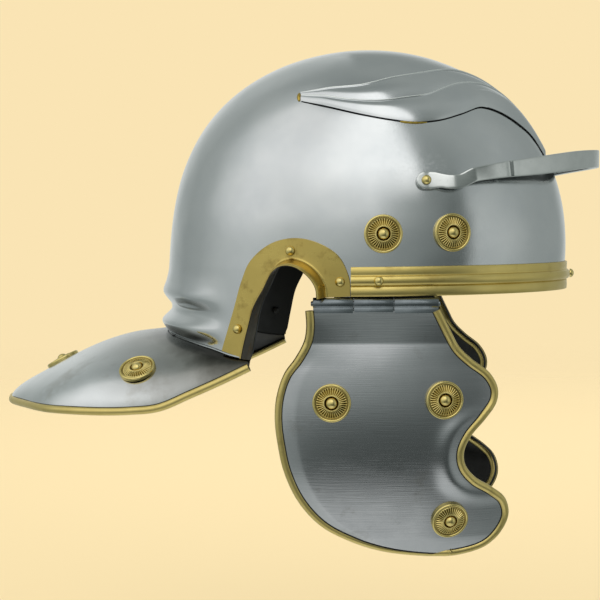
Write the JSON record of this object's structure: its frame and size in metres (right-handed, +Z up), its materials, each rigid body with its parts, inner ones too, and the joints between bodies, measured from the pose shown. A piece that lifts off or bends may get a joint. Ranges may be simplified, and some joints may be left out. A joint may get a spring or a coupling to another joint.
{
  "type": "roman legionary helmet",
  "caption": "Domed steel helmet with a flared neck guard, brass-edged ear openings, brow band, embossed eyebrows, peak strap and two hinged cheek guards with brass rosettes.",
  "frame": {"origin": "middle of the head opening, level with the brow rim, where a head carries the helmet", "axes": "+X to the wearer's front, +Y to the wearer's left, +Z up"},
  "size_m": [0.3637, 0.227, 0.2908],
  "materials": {
    "polished_steel": "hand-polished sheet steel with fine brushing and dark paint inside",
    "hinge_steel": "bright steel, slightly darkened",
    "brass": "polished sheet brass with light tarnish"
  },
  "bodies": {
    "helmet": {"bowl": "polished_steel", "neck_guard_rim": "brass", "ear_guard_right": "brass", "ear_guard_left": "brass", "brow_band": "brass", "peak_guard": "polished_steel", "hinge_leaf_right": "hinge_steel", "hinge_leaf_left": "hinge_steel", "rosette_front_right": "brass", "rosette_back_right": "brass", "rosette_rivet_front_right": "brass", "rosette_rivet_back_right": "brass", "ear_rivet_1_right": "brass", "ear_rivet_2_right": "brass", "ear_rivet_3_right": "brass", "peak_rivet_right": "brass", "band_rivet_right": "brass", "rosette_neck_right": "brass", "rosette_rivet_neck_right": "brass", "rosette_front_left": "brass", "rosette_back_left": "brass", "rosette_rivet_front_left": "brass", "rosette_rivet_back_left": "brass", "ear_rivet_1_left": "brass", "ear_rivet_2_left": "brass", "ear_rivet_3_left": "brass", "peak_rivet_left": "brass", "band_rivet_left": "brass", "rosette_neck_left": "brass", "rosette_rivet_neck_left": "brass", "band_rivet_front": "brass", "rosette_neck_middle": "brass", "rosette_rivet_neck_middle": "brass"},
    "cheek_right": {"cheek_guard_right": "polished_steel", "cheek_rim_right": "brass", "hinge_pin_right": "hinge_steel", "rosette_cheek_front_right": "brass", "rosette_rivet_cheek_front_right": "brass", "rosette_cheek_back_right": "brass", "rosette_rivet_cheek_back_right": "brass", "rosette_cheek_chin_right": "brass", "rosette_rivet_cheek_chin_right": "brass"},
    "cheek_left": {"cheek_guard_left": "polished_steel", "cheek_rim_left": "brass", "hinge_pin_left": "hinge_steel", "rosette_cheek_front_left": "brass", "rosette_rivet_cheek_front_left": "brass", "rosette_cheek_back_left": "brass", "rosette_rivet_cheek_back_left": "brass", "rosette_cheek_chin_left": "brass", "rosette_rivet_cheek_chin_left": "brass"}
  },
  "joints": [
    {"name": "cheek_right_hinge", "type": "hinge", "parent": "helmet", "child": "cheek_right", "pos_m": [0.0086, -0.0986, -0.005], "axis": [-0.9914, -0.1305, 0], "range_deg": [-30, 88]},
    {"name": "cheek_left_hinge", "type": "hinge", "parent": "helmet", "child": "cheek_left", "pos_m": [0.0086, 0.0986, -0.005], "axis": [0.9914, -0.1305, 0], "range_deg": [-30, 88]}
  ]
}
